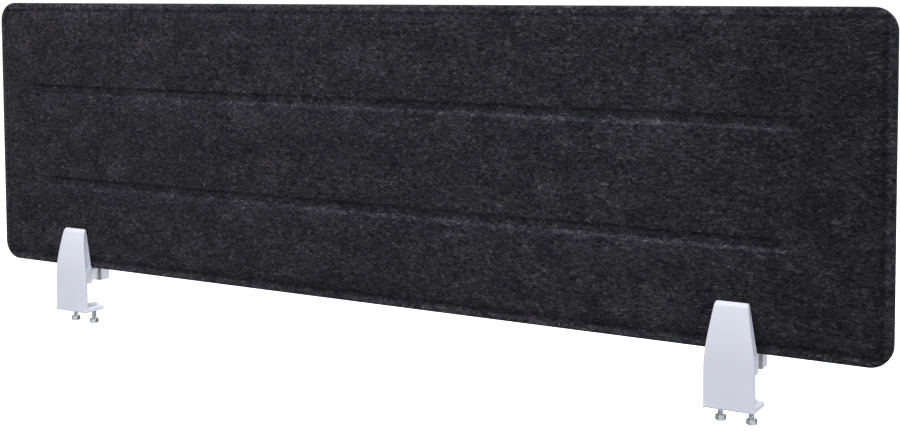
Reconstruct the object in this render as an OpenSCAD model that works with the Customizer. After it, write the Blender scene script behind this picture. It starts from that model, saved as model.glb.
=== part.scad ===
// Desk privacy panel: a moulded felt panel held by two screw clamps that
// grip the edge of a desk top. Millimetres, +Z up, +X along the panel, +Y
// from the desk's edge inwards over the desk top.
// Origin: middle of the panel, where the clamps' spines meet the desk's
// edge (Y = 0) and their upper jaws rest on the desk top (Z = 0).

/* [Panel] */
// Width of the felt panel
panel_w = 1200; // [900:50:1600]
// Height of the felt panel
panel_h = 350; // [300:10:500]
// Radius of the panel's four corners
corner_r = 24; // [18:1:40]
// Thickness of the panel at its flat rim
rim_t = 10; // [9:0.5:14]
// Width of the flat rim
rim_w = 11; // [9:1:16]
// Height of the raised field above the rim, on each side
field_rise = 3; // [2.5:0.5:4]
// Width of the slope between rim and field
shoulder_w = 8; // [5:1:10]
// Thickness of the moulded felt skins in the field
felt_t = 4; // [3:0.5:4.5]
// Thickness of the core board
core_t = 2; // [1.5:0.5:3]

/* [Grooves] */
// Heights of the groove centres above the panel's bottom edge
groove_z = [113.5, 236]; // [100:0.5:250]
// Distance from each end of the panel to the groove's end
groove_inset = 90; // [60:5:200]
// Width of the groove's flat floor
groove_floor = 8; // [6:1:14]
// Width of the slope on each side of a groove
groove_slope = 6; // [4:1:8]

/* [Clamp] */
// Distance from the panel's left end to the middle of the left clamp
left_from_end = 137; // [90:0.5:400]
// Distance from the panel's right end to the middle of the right clamp
right_from_end = 158.5; // [90:0.5:400]
// Width of the clamp
clamp_w = 54.5; // [50:0.5:60]
// Width of the front cover at its top
cover_top_w = 35; // [30:1:40]
// Height of the front cover's top above the desk top
cover_top_z = 71; // [65:0.5:75]
// Thickness of the spine
spine_t = 4.2; // [4:0.1:8]
// Clear height of the jaw that takes the desk top
desk_gap = 33; // [28:1:45]
// Thickness of the bottom flange
flange_t = 5.5; // [4:0.5:6]
// Reach of the bottom flange under the desk
flange_reach = 29; // [27:1:40]
// Thickness of the front cover's walls
wall_t = 1.6; // [1.2:0.1:1.8]
// Depth of the hollow in each side of the front cover
pocket_depth = 3; // [2:0.5:11]

/* [Rear jaw] */
// Width of the rear jaw
jaw_w = 52; // [50:1:60]
// Depth of the rear jaw below the panel
jaw_depth = 15.5; // [13:0.5:20]
// Height of the rear jaw's top above the desk top
jaw_top_z = 54; // [44:1:65]

/* [Fasteners] */
// Distance between the two desk bolts of a clamp
bolt_pitch = 33; // [28:1:36]
// Distance of the desk bolts from the desk's edge
bolt_y = 21.5; // [16:0.5:21.5]
// Distance between the two jaw screws of a clamp
screw_pitch = 30; // [24:1:36]

/* [Hidden] */
$fn = 64;

felt_colour = [0.16, 0.16, 0.18];
metal_colour = [0.88, 0.88, 0.92];
rubber_colour = [0.06, 0.06, 0.06];
zinc_colour = [0.66, 0.69, 0.70];
cap_colour = [0.92, 0.92, 0.92];
core_colour = [0.55, 0.53, 0.50];

gap = 0.3;        // free gap between pieces that move past each other
thread_gap = 0.05; // radial clearance of a shaft in its threaded hole
e = 0.01;         // overlap that joins or cuts cleanly

// Panel, measured from the desk
panel_z = 19;                       // bottom edge
rim_y = 12.5;                       // front face of the rim
mid_y = rim_y + rim_t / 2;          // middle plane
rear_y = rim_y + rim_t;             // rear face of the rim
core_inset = 8;                     // rim of felt around the core board

// Clamp positions along the panel
left_x = -panel_w / 2 + left_from_end;
right_x = panel_w / 2 - right_from_end;

// Clamp body, heights and depths
flange_top = -desk_gap;
body_bottom = flange_top - flange_t;
front_pad_t = 0.8;
shelf_top = panel_z - gap;
shelf_bottom = 2.5;
field_end = rear_y + field_rise;    // rear face of the panel's field
shelf_end = field_end - 1;
shelf_w = clamp_w - 8.5;
jaw_reach = 10;                     // depth of the upper jaw on the desk top
grip_y = rim_y - field_rise - gap;  // rear face of the front pad
wall_y = grip_y - front_pad_t;      // rear face of the cover
lip_z = panel_z + 3;                // top of the lip in front of the rim
bend_z = 12;                        // the front face is upright below this
bend_r = 215;                       // and bends back above it on this radius
taper_z = 0;                        // the clamp's sides are upright below this
blend_z = 24;                       // and slope straight above this
top_round = 3;                      // corners of the cover's top
bevel_z = cover_top_z - 4;          // foot of the bevel along the top's front edge

// Rear jaw
rear_pad_t = 1;
jaw_y = field_end + gap + rear_pad_t; // front face
jaw_bottom = 0.3;
jaw_back = jaw_y + jaw_depth;
jaw_wall = 2;
foot_z = 20;                        // top of the jaw's solid foot

// M6 desk bolts and their caps
bolt_r = 3;
bolt_head_h = 5;
bolt_head_af = 10;
bolt_len = 20;
bolt_drop = 12.5;                   // thread that shows below the flange
bolt_head_top = body_bottom - bolt_drop;
bolt_tip = bolt_head_top + bolt_len;
cap_r = 5.5;
cap_bottom = flange_top + 0.1;
cap_top = bolt_tip + 1;

// M5 jaw screws
screw_r = 2.5;
screw_z = 12;
screw_len = 25;
screw_head_r = 4.25;
screw_head_h = 5;
screw_socket_af = 4;
seat_y = jaw_back - 7;              // floor of the counterbore

// Circumscribed radius of a hexagon of a given width across flats
function hex_r(af) = af / 2 / cos(30);

// Front face of the clamp, as a depth at height z
function front_y(z) = -spine_t + bend_r - sqrt(pow(bend_r, 2) - pow(max(z - bend_z, 0), 2));

// Half the clamp's width at height z: straight, a short arc, a straight taper
taper = (clamp_w - cover_top_w) / 2 / (cover_top_z - (taper_z + blend_z) / 2);
function half_w(z) =
    z <= taper_z ? clamp_w / 2 :
    z >= blend_z ? clamp_w / 2 - taper * (z - (taper_z + blend_z) / 2) :
    clamp_w / 2 - taper * pow(z - taper_z, 2) / 2 / (blend_z - taper_z);

// ---- Panel ----

// Rounded rectangle in the panel's plane, a distance inside its outline
module outline(inset) {
    w = panel_w - 2 * inset;
    h = panel_h - 2 * inset;
    r = max(corner_r - inset, 6);
    translate([0, panel_z + panel_h / 2]) {
        square([w - 2 * r, h], center = true);
        square([w, h - 2 * r], center = true);
        for (sx = [-1, 1], sz = [-1, 1])
            translate([sx * (w / 2 - r), sz * (h / 2 - r)]) circle(r);
    }
}

// Stands a shape drawn in X and Z between the depths y0 and y1
module between(y0, y1) {
    translate([0, y1, 0]) rotate([90, 0, 0]) linear_extrude(y1 - y0) children();
}

// Plan of one groove, wider than its floor by a slope on each side
module groove_plan(z, slope) {
    w = panel_w - 2 * groove_inset + 2 * slope;
    h = groove_floor + 2 * slope;
    translate([0, panel_z + z]) square([w, h], center = true);
}

// Raised block with sloping sides, from the rim's level to the field's
module field_block(inset, y_rim, y_field) {
    hull() {
        between(y_rim, y_rim + e) outline(inset);
        between(y_field, y_field + e) outline(inset + shoulder_w);
    }
}

// Wedge-sided trench of one groove, from its floor out to past the field
module groove_block(z, y_floor, y_field, grow) {
    hull() {
        between(y_floor - e, y_floor) groove_plan(z, grow);
        between(y_field - e, y_field) groove_plan(z, grow + groove_slope);
    }
}

// One skin: rim, raised field and grooves outside, hollow behind the field
module felt_shell() {
    field_y = rim_y - field_rise;
    pocket_y = mid_y - core_t / 2;
    hollow_y = field_y + felt_t;
    color(felt_colour)
    difference() {
        union() {
            between(rim_y, mid_y) outline(0);
            field_block(rim_w, rim_y + 1, field_y);
        }
        for (z = groove_z) groove_block(z, rim_y, field_y - e, 0);
        between(pocket_y, mid_y + 1) outline(core_inset);
        difference() {
            field_block(rim_w + 3, pocket_y + e, hollow_y);
            for (z = groove_z) groove_block(z, pocket_y + 1, hollow_y - 1, 2);
        }
    }
}

module front_felt_shell() {
    felt_shell();
}

module rear_felt_shell() {
    translate([0, 2 * mid_y, 0]) mirror([0, 1, 0]) felt_shell();
}

module core_board() {
    color(core_colour)
    between(mid_y - core_t / 2, mid_y + core_t / 2) outline(core_inset + 0.1);
}

// ---- Clamp ----

// Extrudes a shape drawn in Y and Z across a width centred on x
module across(x, w) {
    translate([x - w / 2, 0, 0]) rotate([90, 0, 90]) linear_extrude(w) children();
}

// Side view of the clamp body's outline, without the shelf under the panel
module body_profile() {
    polygon(concat(
        [[-spine_t, body_bottom]],
        [for (z = [bend_z:6:bevel_z - 2]) [front_y(z), z]],
        [
            [front_y(bevel_z), bevel_z], [wall_y - 2, cover_top_z], [wall_y, cover_top_z - 0.5],
            [wall_y, shelf_top], [jaw_reach, shelf_top], [jaw_reach, shelf_bottom],
            [jaw_reach - shelf_bottom, 0], [0, 0],
            [0, flange_top], [flange_reach, flange_top], [flange_reach, body_bottom]
        ]));
}

// Side view of the shelf that the panel rests on and the jaw screws go into,
// with its lip in front of the panel's rim
module shelf_profile() {
    polygon([
        [wall_y - 1, shelf_bottom], [shelf_end - 3.5, shelf_bottom],
        [shelf_end, shelf_bottom + 4], [shelf_end, shelf_top], [rim_y - gap, shelf_top],
        [rim_y - gap, lip_z], [wall_y - 1, lip_z + 3]
    ]);
}

// Side view of a hollow between the cover's front and rear walls
module cover_hollow_profile() {
    rear = wall_y - wall_t;
    top = cover_top_z - 5.5;
    polygon(concat(
        [for (z = [panel_z + 1:6:top]) [front_y(z) + wall_t, z]],
        [[rear, top], [rear, panel_z + 1]]));
}

// Front view of the clamp body, a distance inside its two sides
module body_front(inset) {
    heights = [body_bottom, for (z = [taper_z:2:blend_z]) z, cover_top_z - top_round];
    top_r_x = half_w(cover_top_z) - top_round - inset;
    corner = [for (a = [15:15:75])
        [top_r_x + top_round * cos(a), cover_top_z - top_round + top_round * sin(a)]];
    right = concat(
        [for (z = heights) [half_w(z) - inset, z]], corner, [[top_r_x, cover_top_z]]);
    count = len(right);
    left = [for (i = [count - 1:-1:0]) [-right[i][0], right[i][1]]];
    polygon(concat(right, left));
}

// Hollows in the cover's two sides, with solid metal left between them
module side_pockets(x) {
    difference() {
        across(x, clamp_w + 2) cover_hollow_profile();
        translate([x, 0, 0]) between(-spine_t - 1, grip_y) body_front(pocket_depth);
    }
}

module clamp_body(x) {
    color(metal_colour)
    difference() {
        intersection() {
            union() {
                across(x, clamp_w) body_profile();
                across(x, shelf_w) shelf_profile();
            }
            translate([x, 0, 0]) between(-spine_t - 1, flange_reach + 1) body_front(0);
        }
        side_pockets(x);
        for (side = [-1, 1]) {
            translate([x + side * bolt_pitch / 2, bolt_y, body_bottom - 1])
                cylinder(r = bolt_r + thread_gap, h = flange_t + 2);
            translate([x + side * screw_pitch / 2, shelf_end + 1, screw_z]) rotate([90, 0, 0])
                cylinder(r = screw_r + thread_gap, h = shelf_end + 1 - (seat_y - screw_len - 1));
        }
    }
}

module front_pad(x) {
    top = cover_top_z - 8;
    foot = lip_z + 3;
    color(rubber_colour)
    intersection() {
        translate([x, 0, 0]) between(grip_y - front_pad_t, grip_y) body_front(0);
        across(x, clamp_w) translate([0, foot]) square([grip_y, top - foot]);
    }
}

// ---- Rear jaw ----

// Side view of the rear jaw: a solid foot and a tapered, hollow upper part
module jaw_profile() {
    polygon([
        [jaw_y, jaw_bottom], [jaw_back, jaw_bottom], [jaw_back, foot_z],
        [jaw_y + 4.5, jaw_top_z - 1.5], [jaw_y + 3, jaw_top_z], [jaw_y, jaw_top_z]
    ]);
}

module jaw_hollow_profile() {
    polygon([
        [jaw_y + jaw_wall, foot_z + 2], [jaw_back - jaw_wall - 1, foot_z + 2],
        [jaw_y + jaw_wall + 1, jaw_top_z - 8], [jaw_y + jaw_wall, jaw_top_z - 8]
    ]);
}

module rear_jaw(x) {
    color(metal_colour)
    difference() {
        across(x, jaw_w) difference() {
            jaw_profile();
            jaw_hollow_profile();
        }
        for (side = [-1, 1])
            translate([x + side * screw_pitch / 2, 0, screw_z]) rotate([-90, 0, 0]) {
                cylinder(r = screw_r + gap, h = jaw_back);
                translate([0, 0, seat_y]) cylinder(r = screw_head_r + gap, h = jaw_depth);
            }
    }
}

// Strip between the jaw's front face and the raised field
module rear_pad(x) {
    top = jaw_top_z - 3;
    color(rubber_colour)
    difference() {
        across(x, jaw_w) translate([jaw_y - rear_pad_t, jaw_bottom])
            square([rear_pad_t, top - jaw_bottom]);
        for (side = [-1, 1])
            translate([x + side * screw_pitch / 2, 0, screw_z]) rotate([-90, 0, 0])
                cylinder(r = screw_r + gap, h = jaw_back);
    }
}

// ---- Fasteners ----

// Socket-head screw through the rear jaw into the shelf
module jaw_screw(x) {
    head_y = seat_y + 0.1;
    color(zinc_colour)
    translate([x, head_y, screw_z]) rotate([-90, 0, 0])
    difference() {
        union() {
            translate([0, 0, -screw_len]) cylinder(r = screw_r, h = screw_len + 1);
            cylinder(r = screw_head_r, h = screw_head_h);
        }
        translate([0, 0, screw_head_h - 2.5])
            cylinder(r = hex_r(screw_socket_af), h = 3, $fn = 6);
    }
}

// Hex bolt that points up through the bottom flange
module desk_bolt(x) {
    color(zinc_colour)
    translate([x, bolt_y, bolt_head_top]) {
        translate([0, 0, -1]) cylinder(r = bolt_r, h = bolt_len + 1);
        intersection() {
            translate([0, 0, -bolt_head_h])
                cylinder(r = hex_r(bolt_head_af), h = bolt_head_h, $fn = 6);
            translate([0, 0, -bolt_head_h])
                cylinder(r1 = hex_r(bolt_head_af) - 0.6, r2 = hex_r(bolt_head_af) + 4,
                    h = bolt_head_h + 0.6);
        }
    }
}

// Round cap on the bolt's tip, which stays still as the bolt turns in it
module bolt_cap(x) {
    color(cap_colour)
    translate([x, bolt_y, 0]) difference() {
        union() {
            translate([0, 0, cap_bottom]) cylinder(r = cap_r, h = cap_top - cap_bottom - 0.8);
            translate([0, 0, cap_top - 0.8 - e])
                cylinder(r1 = cap_r, r2 = cap_r - 0.8, h = 0.8 + e);
        }
        translate([0, 0, cap_bottom - 1])
            cylinder(r = bolt_r + thread_gap, h = bolt_tip + 0.1 - cap_bottom + 1);
    }
}

// ---- Assembly ----

half_bolt = bolt_pitch / 2;
half_screw = screw_pitch / 2;

front_felt_shell();
rear_felt_shell();
core_board();

clamp_body(left_x);  // left_clamp_body
front_pad(left_x);  // left_front_pad
rear_jaw(left_x);  // left_rear_jaw
rear_pad(left_x);  // left_rear_pad
jaw_screw(left_x - half_screw);  // left_jaw_screw_outer
jaw_screw(left_x + half_screw);  // left_jaw_screw_inner
desk_bolt(left_x - half_bolt);  // left_desk_bolt_outer
desk_bolt(left_x + half_bolt);  // left_desk_bolt_inner
bolt_cap(left_x - half_bolt);  // left_bolt_cap_outer
bolt_cap(left_x + half_bolt);  // left_bolt_cap_inner

clamp_body(right_x);  // right_clamp_body
front_pad(right_x);  // right_front_pad
rear_jaw(right_x);  // right_rear_jaw
rear_pad(right_x);  // right_rear_pad
jaw_screw(right_x + half_screw);  // right_jaw_screw_outer
jaw_screw(right_x - half_screw);  // right_jaw_screw_inner
desk_bolt(right_x + half_bolt);  // right_desk_bolt_outer
desk_bolt(right_x - half_bolt);  // right_desk_bolt_inner
bolt_cap(right_x + half_bolt);  // right_bolt_cap_outer
bolt_cap(right_x - half_bolt);  // right_bolt_cap_inner
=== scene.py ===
"""Desk privacy panel: a moulded felt panel in two screw clamps, on a plain pale floor."""

import math

import bmesh
import bpy
from mathutils import Matrix, Vector
from mathutils.geometry import delaunay_2d_cdt


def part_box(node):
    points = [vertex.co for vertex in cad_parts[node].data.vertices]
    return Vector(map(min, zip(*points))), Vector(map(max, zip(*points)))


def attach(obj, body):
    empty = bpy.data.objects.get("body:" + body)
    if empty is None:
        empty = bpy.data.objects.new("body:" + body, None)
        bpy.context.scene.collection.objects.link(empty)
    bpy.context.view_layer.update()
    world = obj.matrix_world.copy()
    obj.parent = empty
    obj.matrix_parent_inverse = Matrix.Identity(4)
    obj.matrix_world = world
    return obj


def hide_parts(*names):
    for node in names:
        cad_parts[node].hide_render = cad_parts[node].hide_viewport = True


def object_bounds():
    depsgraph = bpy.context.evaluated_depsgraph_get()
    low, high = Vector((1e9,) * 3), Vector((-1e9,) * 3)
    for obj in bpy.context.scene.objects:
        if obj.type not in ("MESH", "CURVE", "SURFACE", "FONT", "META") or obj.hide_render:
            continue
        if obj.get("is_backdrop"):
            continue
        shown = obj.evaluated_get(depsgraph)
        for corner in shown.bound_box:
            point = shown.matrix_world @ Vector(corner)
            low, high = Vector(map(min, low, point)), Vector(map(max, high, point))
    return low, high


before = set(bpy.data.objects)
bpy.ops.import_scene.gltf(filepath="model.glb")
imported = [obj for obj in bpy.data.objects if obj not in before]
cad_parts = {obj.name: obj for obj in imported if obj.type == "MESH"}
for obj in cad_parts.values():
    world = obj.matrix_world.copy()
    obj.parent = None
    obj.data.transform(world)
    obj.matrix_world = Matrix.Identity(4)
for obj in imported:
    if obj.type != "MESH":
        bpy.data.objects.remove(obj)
cad_low, cad_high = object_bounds()

MM = 0.001

# ---- Dimensions, in millimetres, as in the CAD model ----

# Felt skins. A groove is the height of its middle above the panel's lower edge, and the X of
# its left end. Both grooves end at GROOVE_RIGHT. SEAM_LINE and SEAM_LIP aren't sizes but mark
# the two grid lines that draw the seam.
felt_low, felt_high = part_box("front_felt_shell")
PANEL_W = (felt_high[0] - felt_low[0]) / MM
PANEL_H = (felt_high[2] - felt_low[2]) / MM
PANEL_Z = felt_low[2] / MM
FIELD_Y = felt_low[1] / MM
MID_Y = felt_high[1] / MM
FIELD_RISE = 3.0
RIM_Y = FIELD_Y + FIELD_RISE
CORNER_R = 24.0
EDGE_R = 3.0
RIM_W = 10.0
SHOULDER = 11.0
GROOVES = ((113.5, 70.0 - PANEL_W / 2), (236.0, 36.0 - PANEL_W / 2))
GROOVE_RIGHT = PANEL_W / 2 - 74.0
GROOVE_FADE = 50.0
GROOVE_HALF = 4.0
GROOVE_DEPTH = 2.1
SEAM_LINE = -2
SEAM_LIP = -1
SEAM_DEPTH = 0.7

# Clamp bodies. CLAMPS holds the X of each clamp's middle. The cover bends back above BEND_Z on
# a radius of BEND_R, and its sides start to taper at Z = 0, fully from BLEND_Z on.
CLAMPS = {}
for side in ("left", "right"):
    low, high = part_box(side + "_clamp_body")
    CLAMPS[side] = (low[0] + high[0]) / 2 / MM
body_low, body_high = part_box("left_clamp_body")
BODY_BOTTOM = body_low[2] / MM
COVER_TOP = body_high[2] / MM
COVER_FRONT = body_low[1] / MM
FLANGE_END = body_high[1] / MM
HALF_W = (body_high[0] - body_low[0]) / 2 / MM
FLANGE_T = 5.5
FLANGE_TOP = BODY_BOTTOM + FLANGE_T
UPPER_JAW_REACH = 10.0
TOP_HALF_W = 17.5
TOP_ROUND = 2.5
BEVEL_Z = COVER_TOP - 4.0
BLEND_Z = 24.0
BEND_Z = 12.0
BEND_R = 215.0
PAD_GAP = 0.3
SHELF_TOP = PANEL_Z - PAD_GAP
SHELF_BOTTOM = 2.5
SHELF_HALF_W = HALF_W - 4.25
SHELF_END = 2 * MID_Y - FIELD_Y - 1.0
FRONT_PAD_T = 0.8
WALL_Y = FIELD_Y - PAD_GAP - FRONT_PAD_T
LIP_Z = PANEL_Z + 3.0
FRONT_WALL = 2.8
REAR_WALL = 1.6
POCKET_DEPTH = 3.0

# Rear jaws
jaw_low, jaw_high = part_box("left_rear_jaw")
JAW_Y = jaw_low[1] / MM
JAW_BACK = jaw_high[1] / MM
JAW_BOTTOM = jaw_low[2] / MM
JAW_TOP = jaw_high[2] / MM
JAW_HALF_W = (jaw_high[0] - jaw_low[0]) / 2 / MM
JAW_FOOT = 20.0
JAW_TOP_ROUND = 4.0

# Desk bolts and jaw screws. The HALF values are the distances from the clamp's middle.
BOLT_Y = 21.5
BOLT_HALF = 16.5
BOLT_HEAD_H = 5.0
BOLT_HEAD_AF = 10.0
BOLT_PITCH = 1.0
BOLT_R = 3.0
BOLT_HOLE_R = 3.1
SCREW_HALF = 15.0
SCREW_Z = 12.0
SCREW_PITCH = 0.8
SCREW_R = 2.5
SCREW_HOLE_R = 2.8
SCREW_HEAD_H = 5.0
SCREW_HEAD_HOLE_R = 4.55
SCREW_SOCKET_AF = 4.0
SEAT_Y = JAW_BACK - 7.0


# ---- Mesh helpers ----


def finish_mesh(mesh_edit, name, body, slot, nodes, smooth_angle=38):
    """Turns a bmesh in millimetres into a piece that rides on a body and replaces its nodes."""
    bmesh.ops.remove_doubles(mesh_edit, verts=mesh_edit.verts, dist=1e-4)
    bmesh.ops.recalc_face_normals(mesh_edit, faces=mesh_edit.faces)
    bmesh.ops.scale(mesh_edit, vec=(MM, MM, MM), verts=mesh_edit.verts)
    mesh = bpy.data.meshes.new(name)
    mesh_edit.to_mesh(mesh)
    mesh_edit.free()
    piece = bpy.data.objects.new(name, mesh)
    bpy.context.scene.collection.objects.link(piece)
    mesh.shade_smooth()
    mesh.set_sharp_from_angle(angle=math.radians(smooth_angle))
    mesh.materials.append(MATERIALS[slot])
    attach(piece, body)
    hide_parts(*nodes)
    return piece


def add_grid(mesh_edit, rows, close_rows=False):
    """Joins equal rows of points with quads."""
    made = [[mesh_edit.verts.new(p) for p in row] for row in rows]
    for a, b in zip(made, made[1:]):
        count = len(a)
        for i in range(count if close_rows else count - 1):
            j = (i + 1) % count
            mesh_edit.faces.new((a[i], a[j], b[j], b[i]))
    return made


def add_rings(mesh_edit, rings):
    """Joins closed rings of points into a solid, with a face at each end."""
    made = add_grid(mesh_edit, rings, close_rows=True)
    mesh_edit.faces.new(made[0])
    mesh_edit.faces.new(made[-1])


def hexagon_radius(angle, across_flats):
    """Distance from a hexagon's middle to its edge, in the direction of an angle."""
    within = (angle + math.pi / 6) % (math.pi / 3) - math.pi / 6
    return across_flats / 2 / math.cos(within)


def inside(point, loop):
    """True if a 2-D point lies inside a closed loop."""
    x, y = point
    hit = False
    for (x0, y0), (x1, y1) in zip(loop, loop[1:] + loop[:1]):
        if (y0 > y) != (y1 > y) and x < (x1 - x0) * (y - y0) / (y1 - y0) + x0:
            hit = not hit
    return hit


def rounded_loop(corners, step=3.0):
    """Closed loop through (y, z, radius) corners, with arcs at the corners and short edges."""
    count = len(corners)
    loop = []
    for i, (y, z, radius) in enumerate(corners):
        here = Vector((y, z))
        before = Vector(corners[i - 1][:2]) - here
        after = Vector(corners[(i + 1) % count][:2]) - here
        turn = before.angle(after)
        if radius > 0 and turn < math.pi - 0.02:
            reach = radius / math.tan(turn / 2)
            reach = min(reach, 0.48 * before.length, 0.48 * after.length)
            radius = reach * math.tan(turn / 2)
            start = here + before.normalized() * reach
            end = here + after.normalized() * reach
            centre = here + (before.normalized() + after.normalized()).normalized() * (
                radius / math.sin(turn / 2)
            )
            parts = max(3, int((math.pi - turn) / math.radians(15)))
            a, b = start - centre, end - centre
            for k in range(parts + 1):
                mix = a.lerp(b, k / parts).normalized() * radius
                loop.append(tuple(centre + mix))
        else:
            loop.append((y, z))
    dense = []
    for p, q in zip(loop, loop[1:] + loop[:1]):
        p, q = Vector(p), Vector(q)
        parts = max(1, math.ceil((q - p).length / step))
        dense += [tuple(p.lerp(q, k / parts)) for k in range(parts)]
    return dense


def add_slab(mesh_edit, x, loops, half_width, edge_radius, steps=4):
    """Solid drawn by loops in Y and Z, as wide as half_width(z) each side, with round side edges.

    The first loop is the outline and the others are holes through it. edge_radius gives how
    far the round edge reaches over the side face and over the face next to it.
    """
    inner_loops = []
    for number, loop in enumerate(loops):
        area = sum(
            p[0] * q[1] - q[0] * p[1] for p, q in zip(loop, loop[1:] + loop[:1])
        )
        if (area < 0) == (number == 0):
            loop = loop[::-1]
        count = len(loop)
        rings = []
        for k in range(steps + 1):
            angle = math.pi / 2 * k / steps
            ring = []
            for i, (y, z) in enumerate(loop):
                along = (Vector(loop[(i + 1) % count]) - Vector(loop[i - 1])).normalized()
                side_r, face_r = edge_radius(y, z, number)
                inset = side_r * (1 - math.cos(angle))
                y_in, z_in = y - along.y * inset, z + along.x * inset
                ring.append((half_width(z_in) - face_r * (1 - math.sin(angle)), y_in, z_in))
            rings.append(ring)
        inner_loops.append([(p[1], p[2]) for p in rings[-1]])
        rows = [[(x - p[0], p[1], p[2]) for p in ring] for ring in reversed(rings)]
        rows += [[(x + p[0], p[1], p[2]) for p in ring] for ring in rings]
        add_grid(mesh_edit, rows, close_rows=True)
    points, edges = [], []
    for loop in inner_loops:
        first = len(points)
        points += [Vector(p) for p in loop]
        edges += [(first + i, first + (i + 1) % len(loop)) for i in range(len(loop))]
    flat, _, triangles, _, _, _ = delaunay_2d_cdt(points, edges, [], 0, 1e-5)
    for sign in (-1, 1):
        verts = [mesh_edit.verts.new((x + sign * half_width(p.y), p.x, p.y)) for p in flat]
        for triangle in triangles:
            centre = sum((flat[i] for i in triangle), Vector((0, 0))) / 3
            if inside(centre, inner_loops[0]) and not any(
                inside(centre, hole) for hole in inner_loops[1:]
            ):
                mesh_edit.faces.new([verts[i] for i in triangle])


def add_lathe(mesh_edit, place, profile, parts=64):
    """Round solid from (radius, height) pairs; place maps (u, v, height) to the model."""
    rows = []
    for radius, height in profile:
        rows.append(
            [
                place(
                    radius * math.cos(2 * math.pi * k / parts),
                    radius * math.sin(2 * math.pi * k / parts),
                    height,
                )
                for k in range(parts)
            ]
        )
    add_rings(mesh_edit, rows)


def cut(piece, cutters):
    """Takes round holes, each (place, profile), out of a piece."""
    for place, profile in cutters:
        mesh_edit = bmesh.new()
        add_lathe(mesh_edit, place, profile, parts=48)
        bmesh.ops.recalc_face_normals(mesh_edit, faces=mesh_edit.faces)
        bmesh.ops.scale(mesh_edit, vec=(MM, MM, MM), verts=mesh_edit.verts)
        mesh = bpy.data.meshes.new("cutter")
        mesh_edit.to_mesh(mesh)
        mesh_edit.free()
        tool = bpy.data.objects.new("cutter", mesh)
        bpy.context.scene.collection.objects.link(tool)
        modifier = piece.modifiers.new("hole", "BOOLEAN")
        modifier.object = tool
        modifier.operation = "DIFFERENCE"
        modifier.solver = "EXACT"
        bpy.context.view_layer.update()
        result = piece.evaluated_get(bpy.context.evaluated_depsgraph_get())
        cut_mesh = bpy.data.meshes.new_from_object(result)
        piece.modifiers.clear()
        piece.data = cut_mesh
        bpy.data.objects.remove(tool)
    piece.data.shade_smooth()
    piece.data.set_sharp_from_angle(angle=math.radians(32))


# ---- Materials ----


class Shader:
    """A small builder for node materials in object coordinates."""

    def __init__(self, name):
        self.material = bpy.data.materials.new(name)
        self.material.use_nodes = True
        self.nodes = self.material.node_tree.nodes
        self.links = self.material.node_tree.links
        self.surface = self.nodes["Principled BSDF"]
        self.place = self.nodes.new("ShaderNodeTexCoord").outputs["Object"]

    def noise(self, scale, detail=2.0, roughness=0.5, distortion=0.0, offset=0.0):
        """Noise with its own scale along each axis; the offset keeps two noises apart."""
        mapping = self.nodes.new("ShaderNodeMapping")
        mapping.inputs["Scale"].default_value = scale
        mapping.inputs["Location"].default_value = (offset, offset * 0.7, offset * 1.3)
        self.links.new(self.place, mapping.inputs["Vector"])
        noise = self.nodes.new("ShaderNodeTexNoise")
        noise.inputs["Scale"].default_value = 1.0
        noise.inputs["Detail"].default_value = detail
        noise.inputs["Roughness"].default_value = roughness
        noise.inputs["Distortion"].default_value = distortion
        self.links.new(mapping.outputs["Vector"], noise.inputs["Vector"])
        return noise.outputs["Fac"]

    def attribute(self, name):
        """Value that the mesh stores at each of its points."""
        node = self.nodes.new("ShaderNodeAttribute")
        node.attribute_name = name
        return node.outputs["Fac"]

    def ramp(self, value, stops):
        """Colours or grey levels along a value, from (position, colour) stops."""
        ramp = self.nodes.new("ShaderNodeValToRGB")
        elements = ramp.color_ramp.elements
        while len(elements) < len(stops):
            elements.new(0.5)
        for element, (position, colour) in zip(elements, stops):
            element.position = position
            if isinstance(colour, (int, float)):
                colour = (colour, colour, colour)
            element.color = (*colour, 1.0)
        self.links.new(value, ramp.inputs["Fac"])
        return ramp.outputs["Color"]

    def mix(self, factor, a, b, blend="MIX"):
        """Blend of two colours; each input is a socket, a number or a colour."""
        mix = self.nodes.new("ShaderNodeMix")
        mix.data_type = "RGBA"
        mix.blend_type = blend
        for socket, value in ((mix.inputs[0], factor), (mix.inputs[6], a), (mix.inputs[7], b)):
            if isinstance(value, (int, float)):
                socket.default_value = value
            elif isinstance(value, tuple):
                socket.default_value = (*value, 1.0)
            else:
                self.links.new(value, socket)
        return mix.outputs[2]

    def math(self, operation, a, b=0.0):
        """Result of one calculation on sockets or numbers."""
        node = self.nodes.new("ShaderNodeMath")
        node.operation = operation
        for socket, value in zip(node.inputs, (a, b)):
            if isinstance(value, (int, float)):
                socket.default_value = value
            else:
                self.links.new(value, socket)
        return node.outputs[0]

    def bump(self, height, strength, distance, under=None):
        """Normal for a height, on top of the normal under it if there is one."""
        bump = self.nodes.new("ShaderNodeBump")
        bump.inputs["Strength"].default_value = strength
        bump.inputs["Distance"].default_value = distance
        self.links.new(height, bump.inputs["Height"])
        if under is not None:
            self.links.new(under, bump.inputs["Normal"])
        return bump.outputs["Normal"]

    def set(self, **values):
        """Sets inputs of the surface, with an underscore for each space in their names."""
        for name, value in values.items():
            socket = self.surface.inputs[name.replace("_", " ")]
            if isinstance(value, (int, float)):
                socket.default_value = value
            elif isinstance(value, tuple):
                socket.default_value = (*value, 1.0)
            else:
                self.links.new(value, socket)


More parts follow.
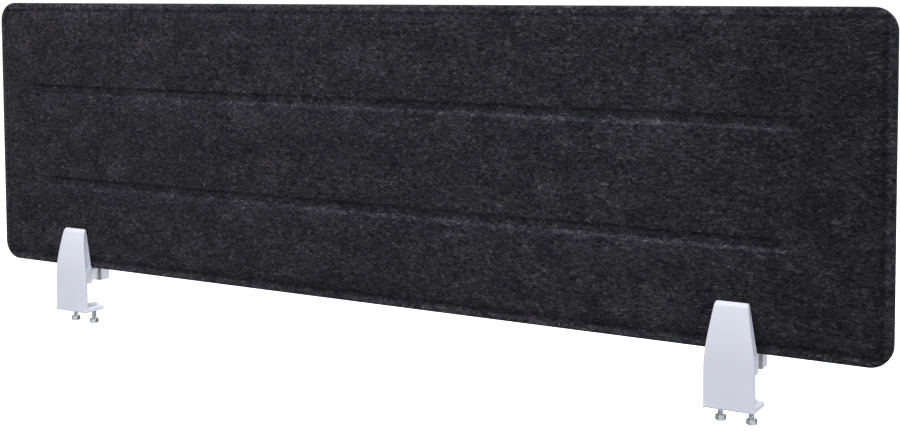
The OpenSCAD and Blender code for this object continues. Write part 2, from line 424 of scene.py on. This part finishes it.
def felt_material():
    """Pressed charcoal felt: curly matted fibres in soft clouds, with a few pale hairs, and painted
    highlights and shade from values kept on its skins.
    """
    s = Shader("felt")
    mat = s.noise((165, 300, 330), detail=3.0, roughness=0.65, distortion=1.3)
    curls = s.noise((70, 170, 200), detail=2.0, roughness=0.55, distortion=1.8, offset=3.1)
    fine = s.noise((900, 1300, 1400), detail=3.0, roughness=0.7, distortion=2.0, offset=7.7)
    clouds = s.noise((24, 30, 36), detail=3.0, roughness=0.6, distortion=0.8, offset=11.0)
    tone = s.ramp(mat, [(0.30, (0.0034, 0.0031, 0.0052)), (0.48, (0.0180, 0.0174, 0.0225)),
                        (0.60, (0.0375, 0.0366, 0.0440)), (0.74, (0.0960, 0.0945, 0.1030))])
    line = s.math("ABSOLUTE", s.math("SUBTRACT", curls, 0.5))
    curl = s.ramp(line, [(0.0, 1.35), (0.03, 1.10), (0.09, 0.94), (0.2, 0.82)])
    tone = s.mix(1.0, tone, curl, "MULTIPLY")
    cloud = s.ramp(clouds, [(0.32, (0.72, 0.74, 0.78)), (0.50, (1.0, 1.0, 1.0)),
                            (0.68, (1.42, 1.38, 1.36))])
    tone = s.mix(1.0, tone, cloud, "MULTIPLY")
    hair = s.ramp(fine, [(0.30, 0.60), (0.55, 1.0), (0.74, 1.9)])
    tone = s.mix(0.5, tone, hair, "MULTIPLY")
    # Painted light and shade: a gain from the values on the skins, which brightens the groove creases
    # and darkens the groove floors, the line inside the rim and the right end.
    painted_light_gain = s.ramp(s.attribute("painted_light"), [(0.2, 0.35), (0.5, 1.0), (0.9, 2.6)])
    tone = s.mix(1.0, tone, painted_light_gain, "MULTIPLY")
    normal = s.bump(mat, 0.30, 0.0009)
    normal = s.bump(fine, 0.40, 0.0003, under=normal)
    rough = s.ramp(fine, [(0.3, 0.98), (0.75, 0.82)])
    s.set(Base_Color=tone, Roughness=rough, Normal=normal)
    s.surface.inputs["Specular IOR Level"].default_value = 0.08
    s.surface.inputs["Sheen Weight"].default_value = 0.01
    s.surface.inputs["Sheen Roughness"].default_value = 0.6
    return s.material


def powder_coat_material():
    """White satin powder coat: orange-peel bump and a fine grain."""
    s = Shader("powder_coat")
    peel = s.noise((700, 700, 700), detail=1.5, roughness=0.4)
    grain = s.noise((4200, 4200, 4200), detail=2.0, offset=2.3)
    broad = s.noise((40, 40, 40), detail=2.0, offset=5.9)
    tone = s.ramp(broad, [(0.3, (0.770, 0.790, 0.895)), (0.7, (0.800, 0.818, 0.920))])
    speck = s.ramp(grain, [(0.25, 0.955), (0.6, 1.0)])
    tone = s.mix(1.0, tone, speck, "MULTIPLY")
    rough = s.ramp(peel, [(0.3, 0.42), (0.7, 0.52)])
    normal = s.bump(peel, 0.10, 0.0002)
    normal = s.bump(grain, 0.08, 0.00005, under=normal)
    s.set(Base_Color=tone, Roughness=rough, Normal=normal)
    s.surface.inputs["Specular IOR Level"].default_value = 0.45
    return s.material


def zinc_material():
    """Bright zinc plate with faint turning lines, clouding and a blue cast."""
    s = Shader("zinc")
    cloud = s.noise((320, 320, 320), detail=3.0, distortion=0.8)
    lines = s.noise((300, 300, 6000), detail=2.0, offset=1.7)
    tone = s.ramp(cloud, [(0.3, (0.52, 0.55, 0.56)), (0.6, (0.72, 0.75, 0.77)),
                          (0.75, (0.84, 0.85, 0.83))])
    rough = s.ramp(cloud, [(0.3, 0.32), (0.7, 0.22)])
    normal = s.bump(lines, 0.15, 0.00005)
    s.set(Base_Color=tone, Roughness=rough, Normal=normal)
    s.surface.inputs["Metallic"].default_value = 1.0
    return s.material


def rubber_material():
    """Matt grey cell rubber with a fine texture and dust."""
    s = Shader("rubber")
    cells = s.noise((1500, 1500, 1500), detail=2.0, roughness=0.6)
    dust = s.noise((90, 90, 90), detail=3.0, offset=4.2)
    tone = s.ramp(dust, [(0.35, (0.420, 0.420, 0.430)), (0.75, (0.510, 0.507, 0.500))])
    rough = s.ramp(cells, [(0.3, 0.95), (0.7, 0.72)])
    normal = s.bump(cells, 0.4, 0.0002)
    s.set(Base_Color=tone, Roughness=rough, Normal=normal)
    return s.material


def cap_material():
    """White moulded plastic with a light spark texture."""
    s = Shader("cap")
    spark = s.noise((2600, 2600, 2600), detail=2.0)
    broad = s.noise((200, 200, 200), detail=2.0, offset=3.3)
    tone = s.ramp(broad, [(0.3, (0.84, 0.84, 0.83)), (0.7, (0.89, 0.89, 0.88))])
    rough = s.ramp(spark, [(0.3, 0.46), (0.7, 0.36)])
    normal = s.bump(spark, 0.12, 0.0001)
    s.set(Base_Color=tone, Roughness=rough, Normal=normal)
    return s.material


def core_material():
    """Grey-brown fibre board."""
    s = Shader("core")
    fibre = s.noise((400, 400, 900), detail=4.0, roughness=0.7)
    tone = s.ramp(fibre, [(0.3, (0.30, 0.28, 0.25)), (0.7, (0.50, 0.47, 0.42))])
    normal = s.bump(fibre, 0.3, 0.0003)
    rough = s.ramp(fibre, [(0.3, 0.92), (0.7, 0.8)])
    s.set(Base_Color=tone, Roughness=rough, Normal=normal)
    return s.material


MATERIALS = {
    "felt": felt_material(),
    "powder_coat": powder_coat_material(),
    "zinc": zinc_material(),
    "rubber": rubber_material(),
    "cap": cap_material(),
    "core": core_material(),
}


# ---- Felt panel ----


def ramped(t, peak, width, rise):
    """Rise of a soft slope: its steepness grows to peak, then fades out at width."""
    top = 2 * rise / width
    if t <= 0:
        return 0.0
    if t <= peak:
        return top * t * t / 2 / peak
    if t >= width:
        return rise
    left = width - t
    return rise - top * left * left / 2 / (width - peak)


def rightward(x):
    """Share of a slow change along the panel, from 0 at the left to 1 well to the right."""
    return ramped(x + 500, 350, 850, 1.0)


def groove_fade(x, left):
    """How deep a groove is at x, from nothing at its ends to 1."""
    return ramped(min(x - left, GROOVE_RIGHT - x), 0.5 * GROOVE_FADE, GROOVE_FADE, 1.0)


def felt_rise(inset, x, z):
    """How far a skin stands out from its rim's face, at a point a given inset from the edge."""
    if inset < 0:
        return -EDGE_R
    if inset < EDGE_R:
        across = 1 - inset / EDGE_R
        return -EDGE_R * (1 - math.sqrt(1 - across * across))
    rise = ramped(inset - RIM_W, 2.5, SHOULDER, FIELD_RISE)
    rise -= 0.25 * math.exp(-(((inset - RIM_W) / 1.1) ** 2))
    for centre, left in GROOVES:
        slope = 1.8 + 0.7 * rightward(x) if z > centre else 8.5 - 3.0 * rightward(x)
        keep = ramped(abs(z - centre) - GROOVE_HALF, 0.3 * slope, slope, 1.0)
        rise = min(rise, FIELD_RISE - GROOVE_DEPTH * groove_fade(x, left) * (1 - keep))
    return rise


def lines(length, features):
    """Grid lines along one side of the panel: fine at both ends and near the features.

    The first two and the last two stand for the seam, which felt_point draws.
    """
    edge = [SEAM_LINE, SEAM_LIP, 0, 0.2, 0.6, 1.2, 2, 3, 4.5, 6, 7.5, 8.6, 9.3, 9.8, 10.2, 10.8]
    edge += [11.4, 12, 12.6, 13.4, 14.4, 15.6, 17, 18.6, 20.2, 21.2, 22.6, 24]
    found = edge + [length - value for value in edge]
    near = [0, 2, 3.4, 4, 4.6, 5.3, 6, 6.6, 7.4, 8.4, 9.6, 10.8, 12, 14]
    for feature in features:
        found += [feature + value for value in near]
        found += [feature - value for value in near[1:]]
    found = sorted(set(round(value, 3) for value in found))
    dense = []
    for a, b in zip(found, found[1:]):
        parts = max(1, math.ceil((b - a) / 6.0))
        dense += [a + (b - a) * k / parts for k in range(parts)]
    return dense + [found[-1]]


def felt_point(u, v, front):
    """Point of a skin for the grid lines u along the panel and v up it."""
    from_x = min(u, PANEL_W - u)
    from_z = min(v, PANEL_H - v)
    inset = min(from_x, from_z)
    seam = round(inset, 3)
    drawn = {SEAM_LINE: SEAM_DEPTH, SEAM_LIP: 0.1}.get(seam, max(inset, 0.0))
    sign_x = -1 if u < PANEL_W / 2 else 1
    sign_z = -1 if v < PANEL_H / 2 else 1
    across, up = CORNER_R - from_x, CORNER_R - from_z
    if across > 0 and up > 0:
        scale = (CORNER_R - drawn) / math.hypot(across, up)
        across, up = across * scale, up * scale
    elif from_x <= from_z:
        across = CORNER_R - (drawn if from_x < 0 else from_x)
    else:
        up = CORNER_R - (drawn if from_z < 0 else from_z)
    x = sign_x * (PANEL_W / 2 - CORNER_R + across)
    z = sign_z * (PANEL_H / 2 - CORNER_R + up) + PANEL_H / 2
    if seam == SEAM_LINE:
        y = MID_Y
    elif seam == SEAM_LIP:
        y = MID_Y - SEAM_DEPTH
    else:
        y = RIM_Y - felt_rise(inset, x, z)
    if not front:
        y = 2 * MID_Y - y
    return (x, y, z + PANEL_Z)


def felt_painted_light(x, z):
    """Painted light and shade on the felt: 0.5 where there is none, less for painted shade, more for
    painted light.

    Each groove has a painted highlight along its lower crease, a soft painted highlight band below it,
    and painted shade on its floor. The panel's right end gets painted shade, its rim is made lighter,
    and a painted shade line runs inside the rim.
    """
    painted_light = 0.5
    # Painted highlight along each groove's lower crease, growing towards the right end, with a soft
    # painted highlight band below it and painted shade on the groove's floor.
    painted_highlight = 0.02 + 0.16 * rightward(x)
    for centre, left in GROOVES:
        off = z - centre
        fade = groove_fade(x, left)
        painted_light += painted_highlight * fade * math.exp(-(((off + 7.0) / 2.4) ** 2))
        painted_light += 0.035 * fade * math.exp(-(((off + 16.0) / 8.0) ** 2))
        painted_light -= 0.03 * fade * ramped(GROOVE_HALF + 1 - abs(off), 1, 2, 1.0)
    # Painted shade towards the panel's right end.
    painted_light -= 0.11 * ramped(x - 330, 100, 250, 1.0)
    inset = min(PANEL_W / 2 - abs(x), z, PANEL_H - z)
    # The rim is made lighter, and a painted shade line runs just inside it.
    painted_light += 0.15 * ramped(RIM_W - inset, 2, 5, 1.0)
    painted_light -= 0.10 * math.exp(-(((inset - RIM_W - 1.0) / 2.4) ** 2))
    return painted_light


def felt_skin(name, front):
    """One moulded skin, from the seam round its edge to the field."""
    half_fades = [left + GROOVE_FADE / 2 for centre, left in GROOVES] + [GROOVE_RIGHT - GROOVE_FADE / 2]
    across = lines(PANEL_W, [PANEL_W / 2 + x for x in half_fades])
    up = lines(PANEL_H, [centre for centre, left in GROOVES])
    mesh_edit = bmesh.new()
    add_grid(mesh_edit, [[felt_point(u, v, front) for u in across] for v in up])
    skin = finish_mesh(mesh_edit, name, "panel", "felt", [name + "_shell"], smooth_angle=60)
    # Painted light and shade at each point; the felt's colour is multiplied by it.
    painted_light = skin.data.attributes.new("painted_light", "FLOAT", "POINT")
    for vertex, value in zip(skin.data.vertices, painted_light.data):
        value.value = felt_painted_light(vertex.co.x / MM, vertex.co.z / MM - PANEL_Z)
    return skin


# ---- Clamp ----


def clamp_half_width(z):
    """Half the clamp's width: upright, a short bend, then a straight taper to a round top."""
    taper = (HALF_W - TOP_HALF_W) / (COVER_TOP - BLEND_Z / 2)
    if z <= 0:
        width = HALF_W
    elif z < BLEND_Z:
        width = HALF_W - taper * z * z / 2 / BLEND_Z
    else:
        width = HALF_W - taper * (z - BLEND_Z / 2)
    over = z - (COVER_TOP - TOP_ROUND)
    if over > 0:
        over = min(over, TOP_ROUND)
        width -= TOP_ROUND - math.sqrt(TOP_ROUND**2 - over**2)
    return width


def front_y(z):
    """Front face of the clamp: upright, then bending back above BEND_Z."""
    return COVER_FRONT + BEND_R - math.sqrt(BEND_R**2 - max(z - BEND_Z, 0) ** 2)


def clamp_body(side):
    """Cover with hollow sides, spine, upper jaw, flange with two bolt holes, and shelf."""
    x = CLAMPS[side]
    bend = [BEND_Z + k * (BEVEL_Z - BEND_Z) / 12 for k in range(12)]
    corners = [(COVER_FRONT, BODY_BOTTOM, 1.8)]
    corners += [(front_y(z), z, 0) for z in bend]
    corners += [
        (front_y(BEVEL_Z), BEVEL_Z, 1.6),
        (WALL_Y - 2, COVER_TOP, 1.2),
        (WALL_Y, COVER_TOP - 0.5, 0.6),
        (WALL_Y, SHELF_TOP, 0.3),
        (UPPER_JAW_REACH, SHELF_TOP, 0.3),
        (UPPER_JAW_REACH, SHELF_BOTTOM, 0.6),
        (UPPER_JAW_REACH - SHELF_BOTTOM, 0.0, 0.8),
        (0.0, 0.0, 0.3),
        (0.0, FLANGE_TOP, 0.8),
        (FLANGE_END, FLANGE_TOP, 0.8),
        (FLANGE_END, BODY_BOTTOM, 0.8),
    ]
    outline = rounded_loop(corners, step=1.6)
    wall = WALL_Y - REAR_WALL
    top = COVER_TOP - 5.5

    def hollow(grow, step):
        """Loop of the pocket between the cover's walls, a little larger if it is to be filled."""
        heights = [PANEL_Z + 1 - grow, 27.0, 34.0, 41.0, 48.0, 55.0, 61.0, top + grow]
        loop = [(front_y(z) + FRONT_WALL - grow, z, 0) for z in heights]
        loop += [(wall + grow, top + grow, 0.5), (wall + grow, PANEL_Z + 1 - grow, 1.0)]
        return rounded_loop(loop, step=step)

    def edge_radius(y, z, number):
        """Round of the side edges: wide on the cover's front, less towards its top, small behind."""
        if number:
            return 0.3, 0.3
        if z > 12 and y > WALL_Y - 0.5:
            return 0.5, 0.5
        front = front_y(z)
        share = min(max(z / COVER_TOP, 0), 1)
        if y < front + 0.4 and z > BODY_BOTTOM + 1.9:
            return 2.5 - share, 5.7 - 3.7 * share
        if y < front + 3.6 and z > COVER_TOP - 4:
            return 1.5, 2.0
        return 0.9, 0.9

    mesh_edit = bmesh.new()
    add_slab(mesh_edit, x, [outline, hollow(0.0, 1.6)], clamp_half_width, edge_radius)
    add_slab(mesh_edit, x, [hollow(0.2, 4.0)], lambda z: clamp_half_width(z) - POCKET_DEPTH,
             lambda y, z, n: (0.3, 0.3), 2)
    shelf = rounded_loop(
        [
            (WALL_Y - 1, SHELF_BOTTOM, 0),
            (SHELF_END - 3.5, SHELF_BOTTOM, 0.8),
            (SHELF_END, SHELF_BOTTOM + 4, 0.8),
            (SHELF_END, SHELF_TOP, 0.8),
            (RIM_Y - PAD_GAP, SHELF_TOP, 0.3),
            (RIM_Y - PAD_GAP, LIP_Z, 0.6),
            (WALL_Y - 1, LIP_Z + 3, 0),
        ],
        step=4,
    )
    add_slab(mesh_edit, x, [shelf], lambda z: SHELF_HALF_W, lambda y, z, n: (0.8, 0.8))
    piece = finish_mesh(mesh_edit, side + "_clamp", side + "_clamp", "powder_coat",
                        [side + "_clamp_body"])
    cutters = []
    for k in (-1, 1):
        def place(u, v, h, cx=x + k * BOLT_HALF):
            return (cx + u, BOLT_Y + v, h)

        wide, wider = BOLT_HOLE_R + 0.6, BOLT_HOLE_R + 0.8
        cutters.append((place, [(wider, BODY_BOTTOM - 0.5), (wider, BODY_BOTTOM),
                                (BOLT_HOLE_R, BODY_BOTTOM + 0.8), (BOLT_HOLE_R, FLANGE_TOP - 0.6),
                                (wide, FLANGE_TOP), (wide, FLANGE_TOP + 0.5)]))
    cut(piece, cutters)
    return piece


def rear_jaw(side):
    """Solid foot with two counterbored screw holes, and a tapered upper part, hollow along X."""
    x = CLAMPS[side]
    outline = rounded_loop(
        [
            (JAW_Y, JAW_BOTTOM, 0.6),
            (JAW_BACK, JAW_BOTTOM, 1.5),
            (JAW_BACK, JAW_FOOT, 6),
            (JAW_Y + 4.5, JAW_TOP - 1.5, 1.2),
            (JAW_Y + 3, JAW_TOP, 1.2),
            (JAW_Y, JAW_TOP, 0.6),
        ],
        step=2,
    )
    hollow = rounded_loop(
        [
            (JAW_Y + 2, JAW_FOOT + 2, 1),
            (JAW_BACK - 3, JAW_FOOT + 2, 1),
            (JAW_Y + 3, JAW_TOP - 8, 0.4),
            (JAW_Y + 2, JAW_TOP - 8, 0.4),
        ],
        step=2,
    )

    def half_width(z):
        over = min(max(z - (JAW_TOP - JAW_TOP_ROUND), 0), JAW_TOP_ROUND)
        return JAW_HALF_W - (JAW_TOP_ROUND - math.sqrt(JAW_TOP_ROUND**2 - over**2))

    mesh_edit = bmesh.new()
    add_slab(mesh_edit, x, [outline, hollow], half_width,
             lambda y, z, n: (0.4, 0.4) if n or y < JAW_Y + 0.5 else (1.2, 1.2))
    piece = finish_mesh(mesh_edit, side + "_jaw", side + "_jaw", "powder_coat", [side + "_rear_jaw"])
    cutters = []
    for k in (-1, 1):
        def place(u, v, h, cx=x + k * SCREW_HALF):
            return (cx + u, h, SCREW_Z + v)

        head_r = SCREW_HEAD_HOLE_R
        cutters.append((place, [(SCREW_HOLE_R, JAW_Y - 1), (SCREW_HOLE_R, SEAT_Y), (head_r, SEAT_Y),
                                (head_r, JAW_BACK - 0.6), (head_r + 0.65, JAW_BACK + 0.05),
                                (head_r + 0.65, JAW_BACK + 1)]))
    cut(piece, cutters)
    return piece


def pad(node, body, ribbed):
    """Rubber strip with soft edges; a ribbed one has fine ribs along X on its gripping face."""
    low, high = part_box(node)
    low, high = [v / MM for v in low], [v / MM for v in high]
    x = (low[0] + high[0]) / 2
    thick = min(high[1] - low[1], high[2] - low[2])
    if ribbed:
        rib_pitch = 2.4
        count = int((high[2] - low[2]) / rib_pitch)
        step = (high[2] - low[2]) / count
        corners = [(high[1], low[2], 0.2), (high[1], high[2], 0.2), (low[1], high[2], 0.3)]
        for k in range(count - 1, 0, -1):
            z = low[2] + k * step
            corners += [(low[1], z + 0.35, 0), (low[1] + 0.3, z, 0), (low[1], z - 0.35, 0)]
        corners.append((low[1], low[2], 0.3))
    else:
        places = ((low[1], low[2]), (high[1], low[2]), (high[1], high[2]), (low[1], high[2]))
        corners = [(y, z, 0.3 * thick) for y, z in places]
    if node.endswith("front_pad"):
        def half(z):
            return clamp_half_width(z) - 0.3
    else:
        def half(z):
            return (high[0] - low[0]) / 2

    mesh_edit = bmesh.new()
    soft = 0.25 * thick
    add_slab(mesh_edit, x, [rounded_loop(corners, step=4)], half, lambda y, z, n: (soft, soft), 3)
    return finish_mesh(mesh_edit, node.replace("_pad", "_grip"), body, "rubber", [node])


# ---- Fasteners ----


def desk_bolt(node):
    """Hex bolt with a real helical M6 thread, standing on its head, which is dished below."""
    low, high = [[v / MM for v in corner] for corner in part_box(node)]
    x, y = (low[0] + high[0]) / 2, (low[1] + high[1]) / 2
    head_top = low[2] + BOLT_HEAD_H
    thread_depth, lead_in, under_head = 0.61, 0.9, 1.2
    mesh_edit = bmesh.new()
    parts = 36
    rows = []
    z = head_top - 0.3
    while z < high[2] - 1e-6:
        row = []
        for k in range(parts):
            phase = (z / BOLT_PITCH - k / parts) % 1.0
            depth = thread_depth * (1 - min(max(abs(2 * phase - 1) * 1.25 - 0.125, 0), 1))
            lead = min(max((high[2] - z) / lead_in, 0), 1)
            root = min(max((z - head_top) / under_head, 0), 1)
            radius = BOLT_R - depth * root - (1 - lead) * 0.7
            angle = 2 * math.pi * k / parts
            row.append((x + radius * math.cos(angle), y + radius * math.sin(angle), z))
        rows.append(row)
        z += BOLT_PITCH / 8
    rows.append([(x + (p[0] - x) * 0.97, y + (p[1] - y) * 0.97, high[2]) for p in rows[-1]])
    add_rings(mesh_edit, rows)
    parts = 96
    hexagon = []
    for k in range(parts):
        angle = 2 * math.pi * k / parts
        hexagon.append((angle, hexagon_radius(angle, BOLT_HEAD_AF)))
    # The hex head, from its outer face up: each level's height and its largest radius.
    levels = [(0.0, 4.85), (0.12, 5.1), (0.3, 5.4), (0.55, 6.0)]
    levels += [(BOLT_HEAD_H - 0.3, 6.0), (BOLT_HEAD_H, 5.5)]
    rows = []
    for height, limit in levels:
        row = []
        for angle, flat in hexagon:
            radius = min(flat, limit)
            row.append((x + radius * math.cos(angle), y + radius * math.sin(angle), low[2] + height))
        rows.append(row)
    dish = []
    for share, height in ((0.70, 0.35), (0.78, 0.02)):
        z = low[2] + height
        dish.append([(x + (p[0] - x) * share, y + (p[1] - y) * share, z) for p in rows[0]])
    add_rings(mesh_edit, dish + rows)
    return finish_mesh(mesh_edit, node.replace("_desk_bolt", "_hex_bolt"), node, "zinc", [node], 30)


def bolt_cap(node):
    """Round pressure cap with a soft upper edge and a slightly sunk top."""
    low, high = [[v / MM for v in corner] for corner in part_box(node)]
    x, y = (low[0] + high[0]) / 2, (low[1] + high[1]) / 2
    r, z0, z1 = (high[0] - low[0]) / 2, low[2], high[2]
    profile = [(3.05, z0), (r - 0.3, z0), (r - 0.1, z0 + 0.1), (r, z0 + 0.3), (r, z1 - 0.8)]
    for k in range(1, 7):
        a = math.pi / 12 * k
        profile.append((r - 0.8 * (1 - math.cos(a)), z1 - 0.8 + 0.8 * math.sin(a)))
    profile += [(r - 1.6, z1), (r - 1.8, z1 - 0.15), (r - 2.1, z1 - 0.2), (0.4, z1 - 0.2)]
    mesh_edit = bmesh.new()
    add_lathe(mesh_edit, lambda u, v, h: (x + u, y + v, h), profile)
    return finish_mesh(mesh_edit, node.replace("_bolt_cap", "_tip_cap"), node, "cap", [node], 30)


def jaw_screw(node):
    """Socket-head screw pointing along -Y: knurled head, hexagon socket and threaded shank."""
    low, high = [[v / MM for v in corner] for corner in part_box(node)]
    x, z = (low[0] + high[0]) / 2, (low[2] + high[2]) / 2
    top, seat = high[1], high[1] - SCREW_HEAD_H

    def ring(radius_at, y, parts=96):
        points = []
        for k in range(parts):
            a = 2 * math.pi * k / parts
            radius = radius_at(a)
            points.append((x + radius * math.cos(a), y, z + radius * math.sin(a)))
        return points

    def knurled(angle):
        return 4.25 - 0.10 * (1 + math.cos(32 * angle)) / 2

    def socket(angle):
        return hexagon_radius(angle, SCREW_SOCKET_AF)

    def plain(radius):
        return lambda angle: radius

    def threaded(turn):
        return lambda angle: SCREW_R - 0.43 * abs(((turn - angle / 2 / math.pi) % 1.0) * 2 - 1)

    rows = [ring(plain(2.0), low[1])]
    y = low[1] + 0.4
    while y < seat - 5:
        rows.append(ring(threaded(y / SCREW_PITCH), y))
        y += SCREW_PITCH / 8
    rows += [ring(plain(SCREW_R), seat - 4.8), ring(plain(SCREW_R), seat - 0.2), ring(plain(2.7), seat)]
    rows += [ring(plain(4.0), seat), ring(knurled, seat + 0.25), ring(knurled, top - 0.7)]
    rows += [ring(plain(4.05), top - 0.25), ring(plain(3.75), top), ring(plain(2.65), top)]
    rows += [ring(socket, top - 0.25), ring(socket, top - 2.5), ring(plain(0.2), top - 2.9)]
    mesh_edit = bmesh.new()
    add_rings(mesh_edit, rows)
    return finish_mesh(mesh_edit, node.replace("_jaw_screw", "_socket_screw"), node, "zinc", [node], 30)


# ---- Assembly ----

felt_skin("front_felt", True)
felt_skin("rear_felt", False)
for side in ("left", "right"):
    clamp_body(side)
    rear_jaw(side)
    pad(side + "_front_pad", side + "_clamp", False)
    pad(side + "_rear_pad", side + "_jaw", True)
    for where in ("outer", "inner"):
        desk_bolt(f"{side}_desk_bolt_{where}")
        bolt_cap(f"{side}_bolt_cap_{where}")
        jaw_screw(f"{side}_jaw_screw_{where}")

# The core board keeps its CAD shape.
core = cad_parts["core_board"]
core.data.materials.clear()
core.data.materials.append(MATERIALS["core"])


# ---- Camera ----

# The photo is cropped from a larger view and its upright edges stay parallel, so the lens is
# shifted. The place, angles and lens come from a fit of the panel's outline and the clamps.
CAMERA_AT = Vector((919.1, -1375.9, 394.3)) * MM
YAW, PITCH, ROLL = math.radians(-30.24), math.radians(-3.556), math.radians(-0.269)
camera = bpy.data.objects.new("camera", bpy.data.cameras.new("camera"))
bpy.context.scene.collection.objects.link(camera)
camera.matrix_world = (
    Matrix.Translation(CAMERA_AT)
    @ Matrix.Rotation(-YAW, 4, "Z")
    @ Matrix.Rotation(math.pi / 2 + PITCH, 4, "X")
    @ Matrix.Rotation(ROLL, 4, "Z")
)
camera.data.sensor_width = 36.0
camera.data.lens = 57.549
camera.data.shift_y = -0.16
camera.data.clip_start = 0.05
camera.data.clip_end = 50.0
bpy.context.scene.camera = camera


# ---- Floor and light ----


FLOOR_GAP = 0.5 * MM


def add_floor():
    """Pale round floor under the bolts, which the part's own light ignores."""
    mesh_edit = bmesh.new()
    bmesh.ops.create_circle(mesh_edit, cap_ends=True, segments=96, radius=12.0)
    mesh = bpy.data.meshes.new("floor")
    mesh_edit.to_mesh(mesh)
    mesh_edit.free()
    floor = bpy.data.objects.new("floor", mesh)
    floor.location = (0, 0, cad_low[2] - FLOOR_GAP)
    bpy.context.scene.collection.objects.link(floor)
    s = Shader("floor")
    cloud = s.noise((1.5, 1.5, 1.5), detail=2.0)
    s.set(Base_Color=s.ramp(cloud, [(0.3, 0.80), (0.7, 0.82)]), Roughness=0.9)
    s.surface.inputs["Emission Color"].default_value = (1, 1, 1, 1)
    s.surface.inputs["Emission Strength"].default_value = 0.75
    mesh.materials.append(s.material)
    floor.visible_diffuse = False
    floor.visible_glossy = False
    floor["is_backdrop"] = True


def add_light(name, place, aim, size, power):
    """Round soft light at a place, turned to an aim, in metres and watts."""
    data = bpy.data.lights.new(name, "AREA")
    data.shape = "DISK"
    data.size = size
    data.energy = power
    light = bpy.data.objects.new(name, data)
    light.location = place
    light.rotation_euler = (Vector(aim) - Vector(place)).to_track_quat("-Z", "Y").to_euler()
    bpy.context.scene.collection.objects.link(light)


def add_world():
    """White to the camera, a soft grey fill, and for shiny parts a fill that is bright in front."""
    world = bpy.data.worlds.new("studio")
    world.use_nodes = True
    nodes, links = world.node_tree.nodes, world.node_tree.links

    def background(colour, strength):
        made = nodes.new("ShaderNodeBackground")
        made.inputs["Color"].default_value = (*colour, 1.0)
        if isinstance(strength, (int, float)):
            made.inputs["Strength"].default_value = strength
        else:
            links.new(strength, made.inputs["Strength"])
        return made.outputs[0]

    def choose(factor, a, b):
        mix = nodes.new("ShaderNodeMixShader")
        for socket, value in zip(mix.inputs, (factor, a, b)):
            links.new(value, socket)
        return mix.outputs[0]

    split = nodes.new("ShaderNodeSeparateXYZ")
    links.new(nodes.new("ShaderNodeTexCoord").outputs["Generated"], split.inputs[0])
    front = nodes.new("ShaderNodeMapRange")
    limits = (("From Min", 0.0), ("From Max", -0.85), ("To Min", 0.22), ("To Max", 0.95))
    for name, value in limits:
        front.inputs[name].default_value = value
    links.new(split.outputs["Y"], front.inputs["Value"])
    fill = background((0.97, 0.98, 1.0), 0.57)
    mirrored = background((0.97, 0.98, 1.0), front.outputs[0])
    path = nodes.new("ShaderNodeLightPath").outputs
    unseen = choose(path["Is Glossy Ray"], fill, mirrored)
    both = choose(path["Is Camera Ray"], unseen, background((1.0, 1.0, 1.0), 1.1))
    links.new(both, nodes["World Output"].inputs["Surface"])
    nodes.remove(nodes["Background"])
    bpy.context.scene.world = world


add_floor()
add_world()
add_light("key", (-0.5, -1.2, 2.7), (0, 0, 0.15), 1.4, 60)
add_light("side", (5.0, -0.35, 0.25), (0, 0, 0.05), 1.2, 60)
add_light("back", (0.6, 1.9, 1.6), (0, 0, 0.15), 1.2, 36)
bpy.context.scene.view_settings.view_transform = "Standard"
bpy.context.scene.view_settings.look = "None"

low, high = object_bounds()
